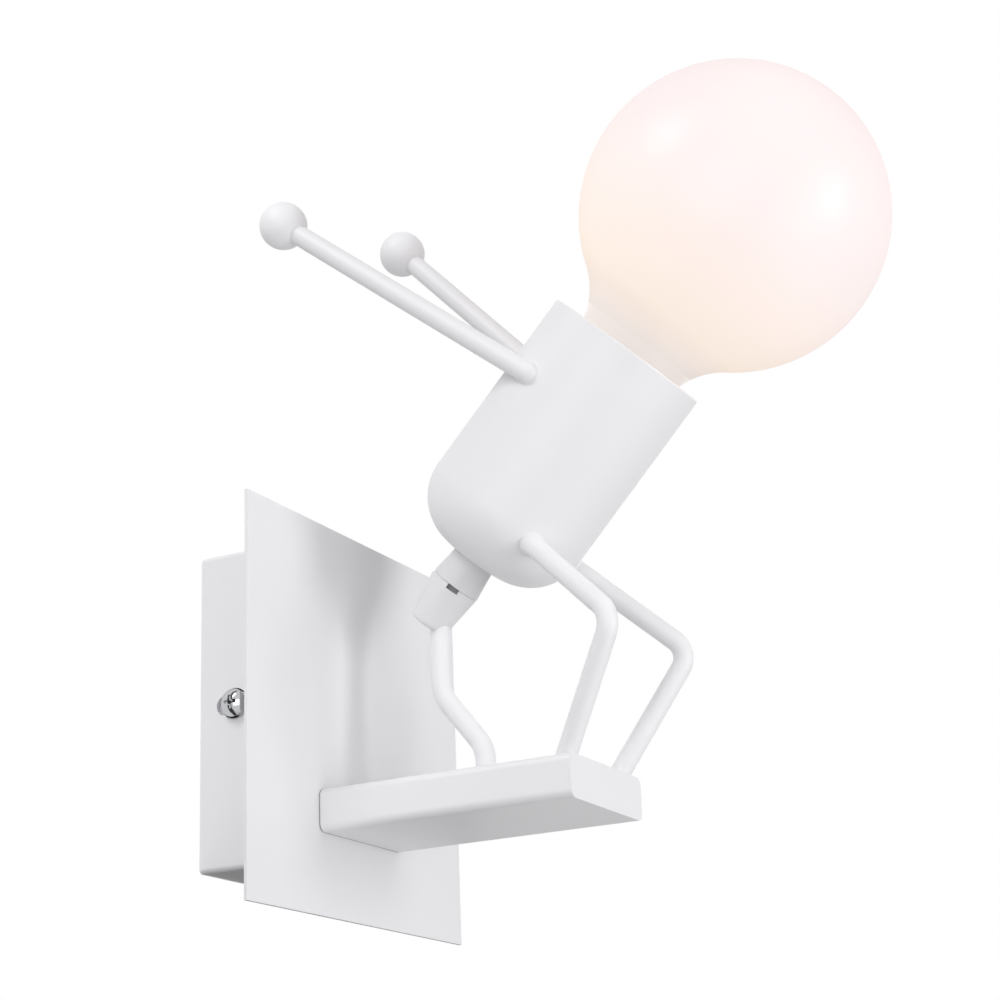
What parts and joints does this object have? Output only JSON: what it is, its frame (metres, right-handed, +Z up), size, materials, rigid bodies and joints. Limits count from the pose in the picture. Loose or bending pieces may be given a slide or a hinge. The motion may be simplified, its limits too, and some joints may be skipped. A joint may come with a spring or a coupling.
{
  "type": "wall sconce",
  "caption": "White wall sconce: a rod figure with ball hands stands on a small board on a wall box, its cup body tilting on a ball knuckle and holding up an opal globe bulb.",
  "frame": {"origin": "on the wall, midway between the two slots of the wall bracket", "axes": "+Y into the wall, the lamp standing out towards -Y; +Z up; +X to the right of someone facing the wall"},
  "size_m": [0.124, 0.2096, 0.2483],
  "materials": {
    "white_coat": "satin white powder coat",
    "chrome": "bright chrome plate",
    "zinc": "zinc-plated steel",
    "brass": "bare brass",
    "nylon": "moulded nylon",
    "porcelain": "glazed porcelain, opaque",
    "lead_sleeve": "silicone sleeve",
    "opal_glass": "opal white globe, lit",
    "neck_plastic": "white moulded housing",
    "cap_metal": "bright rolled sheet",
    "cap_insulator": "black glass",
    "chip_board": "white-faced aluminium board",
    "chip": "yellow phosphor, lit"
  },
  "bodies": {
    "wall_unit": {"wall_bracket": "zinc", "back_box": "white_coat", "front_plate": "white_coat", "side_screws": "chrome", "side_washers": "chrome", "earth_screw": "brass", "earth_washer": "brass", "terminal_block": "nylon", "terminal_inserts": "brass", "terminal_screws": "zinc", "block_screw": "zinc", "board": "white_coat", "board_end": "white_coat", "board_root": "zinc", "board_screws": "zinc", "board_washers": "zinc", "stem": "white_coat", "knuckle_socket": "white_coat", "knuckle_ring": "zinc", "base_leads": "lead_sleeve"},
    "figure": {"knuckle_ball": "zinc", "knuckle_collar": "white_coat", "socket_cup": "white_coat", "cup_washer": "zinc", "cup_nut": "zinc", "arm_left": "white_coat", "arm_right": "white_coat", "hand_left": "white_coat", "hand_right": "white_coat", "leg_left": "white_coat", "leg_right": "white_coat", "holder_nuts": "zinc", "holder_strap": "zinc", "holder_body": "porcelain", "holder_shell": "brass", "holder_contact": "brass", "holder_terminals": "brass", "holder_clamps": "zinc", "holder_screws": "zinc", "head_leads": "lead_sleeve"},
    "bulb": {"bulb_globe": "opal_glass", "bulb_cap": "cap_metal", "bulb_insulator": "cap_insulator", "bulb_tip": "cap_metal", "bulb_neck": "neck_plastic", "bulb_plate": "chip_board", "bulb_chips": "chip"}
  },
  "joints": [
    {"name": "figure_tilt", "type": "hinge", "parent": "wall_unit", "child": "figure", "pos_m": [0, -0.0583, 0.0367], "axis": [-1, 0, 0], "range_deg": [0, 4.5]},
    {"name": "bulb_unscrew", "type": "slide", "parent": "figure", "child": "bulb", "axis": [0, -0.7133, 0.7009], "range_m": [0, 0.022]}
  ]
}
